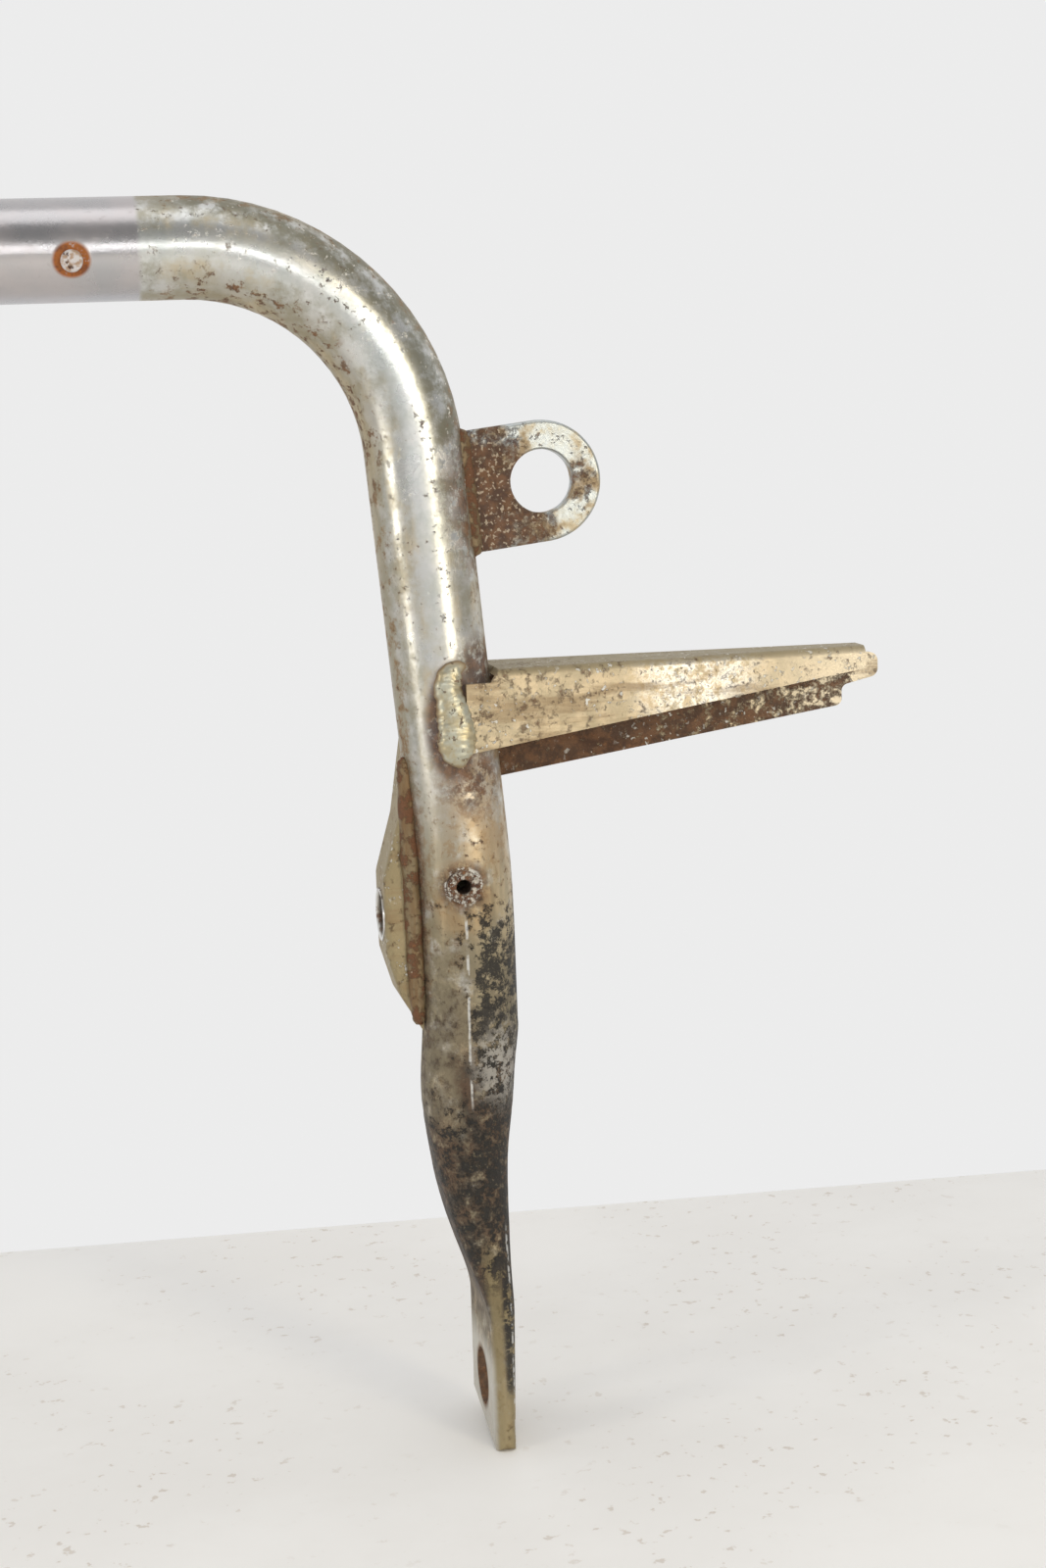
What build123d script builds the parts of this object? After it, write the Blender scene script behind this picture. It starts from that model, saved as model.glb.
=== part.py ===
"""Spare tire carrier: a bent tube hoop with flattened feet, side brackets and a central wheel mount.

Frame: origin midway between the two foot bolt holes, on their common axis. X runs along the top
bar, Y runs away from the wheel side, Z runs up. The right-hand side is built and then mirrored.
"""

import math
import os

from build123d import *

# Distance within which an edge counts as lying on a plane
PICK_GAP = 0.2

# Tube hoop
TUBE_OD = 31.75
TUBE_WALL = 3.0
TUBE_R = TUBE_OD / 2
TUBE_BORE_R = TUBE_R - TUBE_WALL
BAR_Z = 376.7
BAR_LEG_X = 273.0
BEND_R = 70.0
KNEE_X = 289.3
KNEE_Z = 172.0
KNEE_R = 420.0
ROUND_END_Z = 124.0

# Flattened foot: height, centre X and half thickness of each cross-section down the leg
FOOT_SECTIONS = [
    (116.0, 288.8, 15.8),
    (106.0, 287.8, 15.5),
    (96.0, 287.3, 14.8),
    (86.0, 287.0, 13.2),
    (76.0, 287.1, 11.8),
    (66.0, 287.8, 10.5),
    (56.0, 288.9, 9.0),
    (46.0, 290.3, 7.2),
    (36.0, 292.0, 5.4),
    (26.0, 293.1, 4.1),
]
FOOT_END = (-34.0, 292.2, 3.2)
FLAT_START = 4.0
FOOT_HOLE_R = 9.5
FOOT_CUT_Z = -14.6
FOOT_CUT_ANGLE = 10.0
FOOT_HALF_WIDTH = 23.0
FOOT_BACK_CORNER_R = 5.0
FOOT_FRONT_CORNER_R = 2.5

# Eye lug on the outside of the leg
EYE_X = 319.1
EYE_Z = 300.3
EYE_R = 19.5
EYE_HOLE_R = 10.2
EYE_TILT = 6.5
EYE_THICKNESS = 6.0
EYE_EDGE_R = 1.2
EYE_ROOT_LENGTH = 33.0
EYE_WELD_R = 3.2
EYE_WELD_Z = (278.5, 317.0)
LEG_LEAN = math.degrees(math.atan2(KNEE_X - BAR_LEG_X, BAR_Z - KNEE_Z))

# Side arm, a folded channel that is open below and narrows to its tip
SHEET = 2.0
ARM_ROOT_X = 289.3
ARM_TIP_X = 426.0
ARM_TOP_Z = 241.7
ARM_TUBE_GAP = 0.1
ARM_ROOT_HALF = TUBE_R + SHEET + ARM_TUBE_GAP
ARM_TIP_HALF = 7.0
ARM_FOLD_R = 3.0
ARM_FRONT_ROOT_Z = 215.2
ARM_FRONT_TIP_Z = 234.2
ARM_BACK_ROOT_Z = 200.2
ARM_BACK_TIP_Z = 220.9
ARM_NOTCH_X = 421.5
ARM_NOTCH_Z = 227.4
ARM_NOTCH_R = 2.5
ARM_NUB_X = 434.0
ARM_NUB_TOP_Z = 238.2
ARM_NUB_RISE = 3.0
ARM_NUB_R = 3.0
ARM_COPE_X = 297.5
ARM_COPE_Z = 237.6
ARM_COPE_R = 3.0

# Weld beads at the arm root: X, Z and half sizes along X, Y and Z
BEAD_SINK = 0.6
ARM_BEADS = [
    (285.2, 222.6, 6.0, 4.5, 10.6),
    (283.7, 237.4, 4.6, 3.4, 6.2),
]

# Saddle pad and its threaded bush on the inside of the leg
PAD_HALF_WIDTH = 10.5
PAD_CENTRE_Y = 8.0
PAD_TOP_Z = 217.0
PAD_TOP_X = 271.8
PAD_SHOULDER_Z = 193.0
PAD_SHOULDER_X = 268.0
PAD_FACE_TOP_Z = 173.5
PAD_FACE_LOW_Z = 148.0
PAD_FACE_X = 262.3
PAD_LOW_Z = 134.0
PAD_LOW_X = 266.3
PAD_END_Z = 120.0
PAD_END_X = 274.4
PAD_BACK_X = 282.0
PAD_EDGE_R = 2.2
PAD_CORNER_R = 8.8
BUSH_Z = 160.1
BUSH_OUTER_R = 8.8
BUSH_BORE_R = 7.25
BUSH_STAND = 0.5
BUSH_CHAMFER = 0.8
BUSH_DEPTH_X = 272.0
FRONT_SEAM_R = 2.8
FRONT_SEAM_X = (270.4, 271.3, 271.9)
FRONT_SEAM_Y = -2.9
BACK_SEAM_R = 2.0
BACK_SEAM_X = (282.2, 282.6, 282.8)
BACK_SEAM_Y = 16.0
SEAM_TOP_Z = 211.0
SEAM_LOW_Z = 127.0

# Blind threaded insert in the front of the leg
INSERT_X = 286.3
INSERT_Z = 172.0
INSERT_BORE_R = 2.6
INSERT_BARREL_R = 4.0
INSERT_FLANGE_R = 5.4
INSERT_STAND = 1.0
INSERT_LENGTH = 11.0

# Blind rivet in the front of the top bar
RIVET_X = 174.1
RIVET_Z = 372.7
RIVET_SHANK_R = 2.4
RIVET_HEAD_R = 3.4
RIVET_STAND = 1.3
RIVET_LENGTH = 7.0

# Central wheel mount
HUB_Z = 196.0
HANGER_TOP_HALF = 60.0
HANGER_LOW_HALF = 42.0
HANGER_LOW_Z = 132.0
HANGER_THICKNESS = 5.0
HANGER_FACE_Y = -TUBE_R
HANGER_RISE = 7.0
HANGER_CORNER_R = 16.0
FLANGE_R = 75.0
FLANGE_THICKNESS = 8.0
SPACER_LENGTH = 30.0
SPACER_OUTER_R = 33.0
SPACER_INNER_R = 29.0
PILOT_R = 20.0
STUD_COUNT = 3
STUD_START_ANGLE = 90.0
STUD_PCD = 114.3
STUD_R = 6.0
STUD_NECK_R = 6.5
STUD_LENGTH = 38.0
STUD_HEAD_R = 9.5
STUD_HEAD_LENGTH = 5.0
STUD_TIP_CHAMFER = 1.2
RIB_THICKNESS = 5.0
RIB_REACH = 54.0
RIB_COUNT = 3
RIB_START_ANGLE = 30.0
HANGER_WELD_R = 2.6
HANGER_WELD_ANGLE = 24


def leg_point(z):
    """Centreline X of the upper, leaning part of the leg at height z."""
    return BAR_LEG_X + (BAR_Z - z) * math.tan(math.radians(LEG_LEAN))


def hoop_path():
    """Centreline from the top of the left foot, over the bar, to the top of the right foot."""
    points = [(KNEE_X, ROUND_END_Z), (KNEE_X, KNEE_Z), (BAR_LEG_X, BAR_Z)]
    left = [Vector(-x, 0, z) for x, z in points]
    right = [Vector(x, 0, z) for x, z in reversed(points)]
    corners = left + right
    radii = [KNEE_R, BEND_R, BEND_R, KNEE_R]
    edges = []
    last = corners[0]
    for before, corner, after, radius in zip(corners, corners[1:], corners[2:], radii):
        leave, meet = corner_tangents(before, corner, after, radius)
        edges.append(Line(last, leave))
        edges.append(TangentArc(leave, meet, tangent=(corner - before).normalized()))
        last = meet
    edges.append(Line(last, corners[-1]))
    return Wire(edges)


def corner_tangents(before, corner, after, radius):
    """Where an arc of this radius leaves and meets the two lines through a corner."""
    toward = (before - corner).normalized()
    onward = (after - corner).normalized()
    half_angle = math.radians(toward.get_angle(onward)) / 2
    reach = radius / math.tan(half_angle)
    return corner + toward * reach, corner + onward * reach


def foot_section(z, centre_x, half_thickness, inset):
    """Stadium outline of the partly flattened tube; its perimeter stays that of the round tube."""
    flat = math.pi / 2 * (TUBE_R - half_thickness)
    radius = half_thickness - inset
    right, left = centre_x + radius, centre_x - radius
    edges = [
        Line((right, -flat, z), (right, flat, z)),
        ThreePointArc((right, flat, z), (centre_x, flat + radius, z), (left, flat, z)),
        Line((left, flat, z), (left, -flat, z)),
        ThreePointArc((left, -flat, z), (centre_x, -flat - radius, z), (right, -flat, z)),
    ]
    return Wire(edges)


def round_section(radius):
    """Round outline at the top of the foot, split where the flats below it begin."""
    turns = [-FLAT_START, FLAT_START, 180 - FLAT_START, 180 + FLAT_START, 360 - FLAT_START]
    edges = []
    for first, last in zip(turns[:-1], turns[1:]):
        ends = [circle_point(radius, angle) for angle in (first, (first + last) / 2, last)]
        edges.append(ThreePointArc(*ends))
    return Wire(edges)


def circle_point(radius, angle):
    """Point at an angle round the centreline, level with the top of the foot."""
    turn = math.radians(angle)
    return (KNEE_X + radius * math.cos(turn), radius * math.sin(turn), ROUND_END_Z)


def tube_solid(radius):
    """Round rod along the whole hoop, ending at the tops of the feet."""
    path = hoop_path()
    start = Plane(origin=path @ 0, x_dir=(0, 1, 0), z_dir=path % 0)
    return sweep(start * Circle(radius), path=path)


def foot_solid(inset):
    """Lofted flattening of the round tube, down to where its walls meet."""
    first = round_section(TUBE_R - inset)
    wires = [first] + [foot_section(z, x, t, inset) for z, x, t in FOOT_SECTIONS]
    return Solid.make_loft(wires)


def foot_envelope():
    """Flattened part of the leg with its solid tab, still untrimmed."""
    tab = [foot_section(z, x, t, 0.0) for z, x, t in (FOOT_SECTIONS[-1], FOOT_END)]
    return foot_solid(0.0) + Solid.make_loft(tab, True)


def foot_trim():
    """Block that keeps the foot above its slanted end and rounds the two corners."""
    slope = math.tan(math.radians(FOOT_CUT_ANGLE))
    corners = [
        (-FOOT_HALF_WIDTH, ROUND_END_Z),
        (-FOOT_HALF_WIDTH, FOOT_CUT_Z - slope * FOOT_HALF_WIDTH),
        (FOOT_HALF_WIDTH, FOOT_CUT_Z + slope * FOOT_HALF_WIDTH),
        (FOOT_HALF_WIDTH, ROUND_END_Z),
    ]
    block = extrude(Plane.YZ * make_face(Polyline(*corners, close=True)), amount=ARM_TIP_X)
    front, back = block.edges().filter_by(Axis.X).sort_by(Axis.Z)[:2]
    block = fillet([front], FOOT_FRONT_CORNER_R)
    back = block.edges().filter_by(Axis.X).sort_by(lambda edge: (edge.center() - back.center()).length)[0]
    return fillet([back], FOOT_BACK_CORNER_R)


def hoop_envelope():
    """Outside shape of the hoop, without its bore and holes."""
    foot = foot_envelope() & foot_trim()
    return tube_solid(TUBE_R) + foot + mirrored(foot)


def hoop_tube():
    """Whole hoop: round tube, its bore, the fastener holes and both finished feet."""
    foot_x = FOOT_SECTIONS[-1][1]
    foot = foot_envelope() & foot_trim()
    foot -= Pos(foot_x, 0, 0) * Rot(0, 90, 0) * Cylinder(FOOT_HOLE_R, TUBE_OD)
    foot -= foot_solid(TUBE_WALL)
    tube = tube_solid(TUBE_R) - tube_solid(TUBE_BORE_R)
    for side in (-1, 1):
        insert = Pos(side * INSERT_X, -TUBE_R, INSERT_Z) * Rot(90, 0, 0)
        tube -= insert * Cylinder(INSERT_BARREL_R, TUBE_R)
        rivet = Pos(side * RIVET_X, -TUBE_R, RIVET_Z) * Rot(90, 0, 0)
        tube -= rivet * Cylinder(RIVET_SHANK_R, TUBE_R)
    return tube + foot + mirrored(foot)


def eye_lug(envelope):
    """Flat eye plate, rounded about its hole and coped to the leg."""
    centre = Pos(EYE_X, 0, EYE_Z) * Rot(0, -EYE_TILT, 0)
    root = Pos(-EYE_ROOT_LENGTH / 2, 0, 0) * Box(EYE_ROOT_LENGTH, EYE_THICKNESS, 2 * EYE_R)
    plate = Rot(90, 0, 0) * Cylinder(EYE_R, EYE_THICKNESS) + root
    rim = [edge for edge in plate.edges() if abs(abs(edge.center().Y) - EYE_THICKNESS / 2) < PICK_GAP]
    rim = [edge for edge in rim if edge.center().X > -EYE_ROOT_LENGTH + SHEET]
    plate = fillet(rim, EYE_EDGE_R)
    plate -= Rot(90, 0, 0) * Cylinder(EYE_HOLE_R, EYE_THICKNESS)
    hole_rim = plate.edges().filter_by(GeomType.CIRCLE)
    hole_rim = [edge for edge in hole_rim if abs(edge.radius - EYE_HOLE_R) < PICK_GAP]
    plate = chamfer(hole_rim, EYE_EDGE_R / 2)
    return centre * plate - envelope


def eye_welds(envelope, lug):
    """Fillet weld down both sides of the eye's root."""
    low, high = EYE_WELD_Z
    start_x = leg_point(low) + TUBE_R - SHEET / 2
    end_x = leg_point(high) + TUBE_R - SHEET / 2
    welds = []
    for side in (-1, 1):
        y = side * EYE_THICKNESS / 2
        rod = Line((start_x, y, low), (end_x, y, high))
        start = Plane(origin=rod @ 0, z_dir=rod % 0)
        bead = sweep(start * Circle(EYE_WELD_R), path=rod)
        bead += Pos(rod @ 0) * Sphere(EYE_WELD_R)
        bead += Pos(rod @ 1) * Sphere(EYE_WELD_R)
        welds.append(largest(bead - envelope - lug))
    return welds


def largest(shape):
    """The biggest solid of a cut shape."""
    return max(shape.solids(), key=lambda solid: solid.volume)


def plan_wedge(inset, top):
    """Channel outline seen from above, extruded from below the arm to the given height."""
    slope = (ARM_TIP_HALF - ARM_ROOT_HALF) / (ARM_TIP_X - ARM_ROOT_X)
    root_x = ARM_ROOT_X - TUBE_R
    tip_x = ARM_NUB_X + SHEET
    root_half = ARM_ROOT_HALF + slope * (root_x - ARM_ROOT_X) - inset
    tip_half = ARM_TIP_HALF + slope * (tip_x - ARM_TIP_X) - inset
    corners = [(root_x, -root_half), (tip_x, -tip_half), (tip_x, tip_half), (root_x, root_half)]
    base = ARM_BACK_ROOT_Z - TUBE_R
    outline = Plane.XY.offset(base) * make_face(Polyline(*corners, close=True))
    block = extrude(outline, amount=top - base)
    radius = ARM_FOLD_R - inset
    folds = block.edges().filter_by_position(Axis.Z, top - PICK_GAP, top + PICK_GAP)
    folds = [edge for edge in folds if edge.length > ARM_ROOT_X / 2 - TUBE_R]
    return fillet(folds, radius)


def arm_profile(points, side):
    """Side outline of one flange, as a block on one side of the middle plane."""
    outline = Plane.XZ * make_face(Polyline(*points, close=True))
    return extrude(outline, amount=-side * 2 * TUBE_R)


def back_profile(points):
    """Back flange block with its tip nub and notch rounded."""
    block = arm_profile(points, 1)
    nub = [edge for edge in block.edges().filter_by(Axis.Y) if edge.center().X > ARM_TIP_X + SHEET]
    block = fillet(nub, ARM_NUB_R)
    notch = block.edges().filter_by(Axis.Y)
    notch = [edge for edge in notch if abs(edge.center().X - ARM_NOTCH_X) < PICK_GAP]
    return fillet(notch, ARM_NOTCH_R)


def side_arm(envelope):
    """Folded channel: web on top, short front flange, deeper back flange with a tip nub."""
    shell = plan_wedge(0.0, ARM_TOP_Z) - plan_wedge(SHEET, ARM_TOP_Z - SHEET)
    front_points = [
        (ARM_ROOT_X, ARM_FRONT_ROOT_Z),
        (ARM_TIP_X, ARM_FRONT_TIP_Z),
        (ARM_TIP_X, ARM_TOP_Z),
        (ARM_COPE_X + ARM_COPE_R, ARM_TOP_Z),
        (ARM_COPE_X, ARM_COPE_Z),
        (ARM_ROOT_X, ARM_COPE_Z),
    ]
    back_points = [
        (ARM_ROOT_X, ARM_BACK_ROOT_Z),
        (ARM_NOTCH_X, ARM_BACK_TIP_Z),
        (ARM_NOTCH_X, ARM_NOTCH_Z),
        (ARM_NUB_X, ARM_NOTCH_Z + ARM_NUB_RISE),
        (ARM_NUB_X, ARM_NUB_TOP_Z),
        (ARM_TIP_X, ARM_NUB_TOP_Z),
        (ARM_TIP_X, ARM_TOP_Z),
        (ARM_COPE_X + ARM_COPE_R, ARM_TOP_Z),
        (ARM_COPE_X, ARM_COPE_Z),
        (ARM_ROOT_X, ARM_COPE_Z),
    ]
    arm = shell & (arm_profile(front_points, -1) + back_profile(back_points))
    return largest(arm - envelope)


def arm_welds(envelope, arm, pad):
    """Rounded beads that close the flange ends onto the front and back of the leg."""
    beads = []
    for side in (-1, 1):
        cluster = None
        for x, z, half_x, half_y, half_z in ARM_BEADS:
            blob = scale(Sphere(1.0), by=(half_x, half_y, half_z))
            blob = Pos(x, side * (TUBE_R - BEAD_SINK), z) * blob
            cluster = blob if cluster is None else cluster + blob
        beads.append(largest(cluster - envelope - arm - pad))
    return beads


def saddle_pad(envelope):
    """Forged pad on the inside of the leg, set back and bored for the bush."""
    face_top = (PAD_FACE_X, PAD_FACE_TOP_Z)
    face_low = (PAD_FACE_X, PAD_FACE_LOW_Z)
    outline = [
        Line((PAD_BACK_X, PAD_TOP_Z), (PAD_TOP_X, PAD_TOP_Z)),
        Line((PAD_TOP_X, PAD_TOP_Z), (PAD_SHOULDER_X, PAD_SHOULDER_Z)),
        Line((PAD_SHOULDER_X, PAD_SHOULDER_Z), face_top),
        Line(face_top, face_low),
        Line(face_low, (PAD_LOW_X, PAD_LOW_Z)),
        Line((PAD_LOW_X, PAD_LOW_Z), (PAD_END_X, PAD_END_Z)),
        Line((PAD_END_X, PAD_END_Z), (PAD_BACK_X, PAD_END_Z)),
        Line((PAD_BACK_X, PAD_END_Z), (PAD_BACK_X, PAD_TOP_Z)),
    ]
    block = extrude(Plane.XZ * make_face(outline), amount=PAD_HALF_WIDTH, both=True)
    corners = block.edges().filter_by(Axis.Y)
    corners = [edge for edge in corners if edge.center().X < PAD_TOP_X - PAD_EDGE_R / 2]
    block = fillet(corners, PAD_CORNER_R)
    sides = [edge for edge in block.edges() if abs(edge.center().Y) > PAD_HALF_WIDTH - PAD_EDGE_R / 2]
    sides = [edge for edge in sides if edge.center().X < PAD_TOP_X - PAD_EDGE_R / 2]
    block = Pos(0, PAD_CENTRE_Y, 0) * fillet(sides, PAD_EDGE_R)
    bore = Pos(PAD_FACE_X, PAD_CENTRE_Y, BUSH_Z) * Rot(0, 90, 0) * Cylinder(BUSH_OUTER_R, 2 * TUBE_R)
    return largest(block - envelope - bore)


def saddle_bush(envelope):
    """Threaded bush pressed into the pad; its crest diameter stands for the thread."""
    length = BUSH_DEPTH_X - PAD_FACE_X + BUSH_STAND
    bush = Cylinder(BUSH_OUTER_R, length) - Cylinder(BUSH_BORE_R, length)
    mouth = bush.edges().filter_by(GeomType.CIRCLE)
    mouth = [edge for edge in mouth if edge.center().Z < 0 and edge.radius < BUSH_OUTER_R]
    bush = chamfer(mouth, BUSH_CHAMFER)
    middle_x = (BUSH_DEPTH_X + PAD_FACE_X - BUSH_STAND) / 2
    return Pos(middle_x, PAD_CENTRE_Y, BUSH_Z) * Rot(0, 90, 0) * bush - envelope


def saddle_seam(x_places, y, radius):
    """One weld bead along the leg, bowed from its top to its lower end."""
    top_x, bow_x, low_x = x_places
    top = (top_x, y, SEAM_TOP_Z)
    bow = (bow_x, y, (SEAM_TOP_Z + SEAM_LOW_Z) / 2)
    low = (low_x, y, SEAM_LOW_Z)
    path = ThreePointArc(top, bow, low)
    start = Plane(origin=path @ 0, z_dir=path % 0)
    bead = sweep(start * Circle(radius), path=path)
    return bead + Pos(path @ 0) * Sphere(radius) + Pos(path @ 1) * Sphere(radius)


def saddle_seams(envelope, pad):
    """Weld seams down the front and back of the pad where it meets the tube."""
    front = saddle_seam(FRONT_SEAM_X, FRONT_SEAM_Y, FRONT_SEAM_R)
    back = saddle_seam(BACK_SEAM_X, BACK_SEAM_Y, BACK_SEAM_R)
    return [largest(bead - envelope - pad) for bead in (front, back)]


def threaded_insert(envelope):
    """Blind threaded insert: thin flange on the tube, barrel through the wall."""
    flange = Pos(INSERT_X, -TUBE_R + TUBE_WALL / 2, INSERT_Z) * Rot(90, 0, 0)
    flange = flange * Cylinder(INSERT_FLANGE_R, TUBE_WALL + 2 * INSERT_STAND) - envelope
    front_y = -TUBE_R - INSERT_STAND + TUBE_WALL / 4
    barrel = Pos(INSERT_X, front_y + INSERT_LENGTH / 2, INSERT_Z) * Rot(90, 0, 0)
    bore = barrel * Cylinder(INSERT_BORE_R, 2 * INSERT_LENGTH)
    barrel = barrel * Cylinder(INSERT_BARREL_R, INSERT_LENGTH)
    return largest(flange) + barrel - bore


def bar_rivet(envelope):
    """Blind rivet set in the front of the bar."""
    dome = Pos(RIVET_X, -TUBE_R, RIVET_Z) * Rot(90, 0, 0) * Cylinder(RIVET_HEAD_R, 2 * RIVET_STAND)
    dome = largest(dome - envelope)
    front = max(dome.edges().filter_by(GeomType.CIRCLE), key=lambda edge: -edge.center().Y)
    dome = fillet([front], RIVET_STAND / 2)
    shank = Pos(RIVET_X, -TUBE_R - RIVET_STAND / 2 + RIVET_LENGTH / 2, RIVET_Z) * Rot(90, 0, 0)
    return dome + shank * Cylinder(RIVET_SHANK_R, RIVET_LENGTH)


def hanger_outline():
    """Hanger plate seen from the front, narrower at its foot."""
    top_z = BAR_Z + HANGER_RISE
    corners = [
        (-HANGER_TOP_HALF, top_z),
        (HANGER_TOP_HALF, top_z),
        (HANGER_LOW_HALF, HANGER_LOW_Z),
        (-HANGER_LOW_HALF, HANGER_LOW_Z),
    ]
    return Plane.XZ * make_face(Polyline(*corners, close=True))


def wheel_hanger():
    """Flat plate welded across the front of the bar, bored behind the flange."""
    plate = Pos(0, HANGER_FACE_Y, 0) * extrude(hanger_outline(), amount=HANGER_THICKNESS)
    lower = plate.edges().filter_by(Axis.Y).sort_by(Axis.Z)[:2]
    plate = fillet(lower, HANGER_CORNER_R)
    hole = Pos(0, HANGER_FACE_Y, HUB_Z) * Rot(90, 0, 0)
    return plate - hole * Cylinder(PILOT_R, 4 * HANGER_THICKNESS)


def wheel_parts():
    """Spacer, flange, ribs and studs of the wheel mount, all facing -Y."""
    front_y = HANGER_FACE_Y - HANGER_THICKNESS
    axis = Pos(0, front_y, HUB_Z) * Rot(90, 0, 0)
    spacer = Pos(0, 0, SPACER_LENGTH / 2) * Cylinder(SPACER_OUTER_R, SPACER_LENGTH)
    spacer -= Pos(0, 0, SPACER_LENGTH / 2) * Cylinder(SPACER_INNER_R, SPACER_LENGTH)
    flange = Pos(0, 0, SPACER_LENGTH + FLANGE_THICKNESS / 2)
    flange = flange * (Cylinder(FLANGE_R, FLANGE_THICKNESS) - Cylinder(PILOT_R, FLANGE_THICKNESS))
    rim = [edge for edge in flange.edges().filter_by(GeomType.CIRCLE) if edge.radius > PILOT_R + SHEET]
    flange = chamfer(rim, EYE_EDGE_R)
    ribs = [hub_rib(RIB_START_ANGLE + 360 / RIB_COUNT * index) for index in range(RIB_COUNT)]
    studs = []
    for index in range(STUD_COUNT):
        spot = Rot(0, 0, STUD_START_ANGLE + 360 / STUD_COUNT * index) * Pos(STUD_PCD / 2, 0, 0)
        flange -= spot * Pos(0, 0, SPACER_LENGTH) * Cylinder(STUD_NECK_R, 4 * FLANGE_THICKNESS)
        studs.append(axis * spot * Pos(0, 0, SPACER_LENGTH + FLANGE_THICKNESS) * stud())
    return axis * spacer, axis * flange, [axis * rib for rib in ribs], studs


def hub_rib(angle):
    """Radial web between hanger and flange, standing on the spacer."""
    rib = Box(RIB_REACH - SPACER_INNER_R, RIB_THICKNESS, SPACER_LENGTH)
    rib = Pos((RIB_REACH + SPACER_INNER_R) / 2, 0, SPACER_LENGTH / 2) * rib
    spacer = Pos(0, 0, SPACER_LENGTH / 2) * Cylinder(SPACER_OUTER_R, SPACER_LENGTH)
    return Rot(0, 0, angle) * (rib - spacer)


def stud():
    """Pressed-in stud with its head behind the flange, its axis along Z from the flange face."""
    shank = Pos(0, 0, STUD_LENGTH / 2) * Cylinder(STUD_R, STUD_LENGTH)
    tip = shank.edges().filter_by(GeomType.CIRCLE).sort_by(Axis.Z)[-1]
    shank = chamfer([tip], STUD_TIP_CHAMFER)
    neck = Pos(0, 0, -FLANGE_THICKNESS / 2) * Cylinder(STUD_NECK_R, FLANGE_THICKNESS)
    head = Pos(0, 0, -FLANGE_THICKNESS - STUD_HEAD_LENGTH / 2) * Cylinder(STUD_HEAD_R, STUD_HEAD_LENGTH)
    return shank + neck + head


def hanger_welds(envelope, hanger):
    """Weld seams along the hanger where it meets the underside and top of the bar."""
    seams = []
    for z_side in (-1, 1):
        offset_z = TUBE_R * math.sin(math.radians(HANGER_WELD_ANGLE)) * z_side
        y = -TUBE_R * math.cos(math.radians(HANGER_WELD_ANGLE)) - SHEET / 2
        half = HANGER_TOP_HALF - 4 * HANGER_WELD_R
        path = Line((-half, y, BAR_Z + offset_z), (half, y, BAR_Z + offset_z))
        bead = sweep(Plane(origin=path @ 0, z_dir=path % 0) * Circle(HANGER_WELD_R), path=path)
        seams.append(largest(bead - envelope - hanger))
    return seams


def mirrored(shape):
    """The left-hand twin of a right-hand piece."""
    return mirror(shape, about=Plane.YZ)


def group(solids):
    """Several separate solids kept together as one sub-part."""
    return Compound(children=[Solid(solid.wrapped) for item in solids for solid in item.solids()])


def save(name, shape):
    """Write one sub-part."""
    export_step(shape, os.path.join("parts", name + ".step"))


def main():
    os.makedirs("parts", exist_ok=True)
    envelope = hoop_envelope()
    save("hoop_tube", hoop_tube())

    lug = eye_lug(envelope)
    arm = side_arm(envelope)
    pad = saddle_pad(envelope)
    pieces = {
        "eye_lug": lug,
        "eye_welds": group(eye_welds(envelope, lug)),
        "side_arm": arm,
        "arm_welds": group(arm_welds(envelope, arm, pad)),
        "saddle_pad": pad,
        "saddle_bush": saddle_bush(envelope),
        "saddle_welds": group(saddle_seams(envelope, pad)),
        "leg_insert": threaded_insert(envelope),
        "bar_rivet": bar_rivet(envelope),
    }
    for name, piece in pieces.items():
        save(name + "_right", piece)
        save(name + "_left", mirrored(piece))

    hanger = wheel_hanger()
    save("wheel_hanger", hanger)
    save("hanger_welds", group(hanger_welds(envelope, hanger)))
    spacer, flange, ribs, studs = wheel_parts()
    save("wheel_spacer", spacer)
    save("wheel_flange", flange)
    save("spacer_ribs", group(ribs))
    save("wheel_studs", group(studs))


main()
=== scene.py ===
"""Looks of the worn spare tire carrier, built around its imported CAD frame."""

import math
from types import SimpleNamespace

import bmesh
import bpy
from mathutils import Matrix, Vector, noise


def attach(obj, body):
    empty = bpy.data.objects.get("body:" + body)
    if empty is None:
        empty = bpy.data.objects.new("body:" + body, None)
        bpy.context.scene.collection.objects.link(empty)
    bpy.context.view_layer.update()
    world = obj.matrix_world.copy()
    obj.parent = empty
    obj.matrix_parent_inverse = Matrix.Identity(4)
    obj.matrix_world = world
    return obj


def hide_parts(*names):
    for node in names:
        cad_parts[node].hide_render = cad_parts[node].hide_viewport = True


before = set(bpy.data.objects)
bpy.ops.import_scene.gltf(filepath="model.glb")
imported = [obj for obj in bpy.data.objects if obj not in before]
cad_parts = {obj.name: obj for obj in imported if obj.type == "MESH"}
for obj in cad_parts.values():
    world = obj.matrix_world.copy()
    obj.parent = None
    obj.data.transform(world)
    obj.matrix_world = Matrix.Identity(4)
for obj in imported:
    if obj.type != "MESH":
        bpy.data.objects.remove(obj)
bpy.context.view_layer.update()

MM = 0.001
WHITE = (1.0, 1.0, 1.0)


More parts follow.
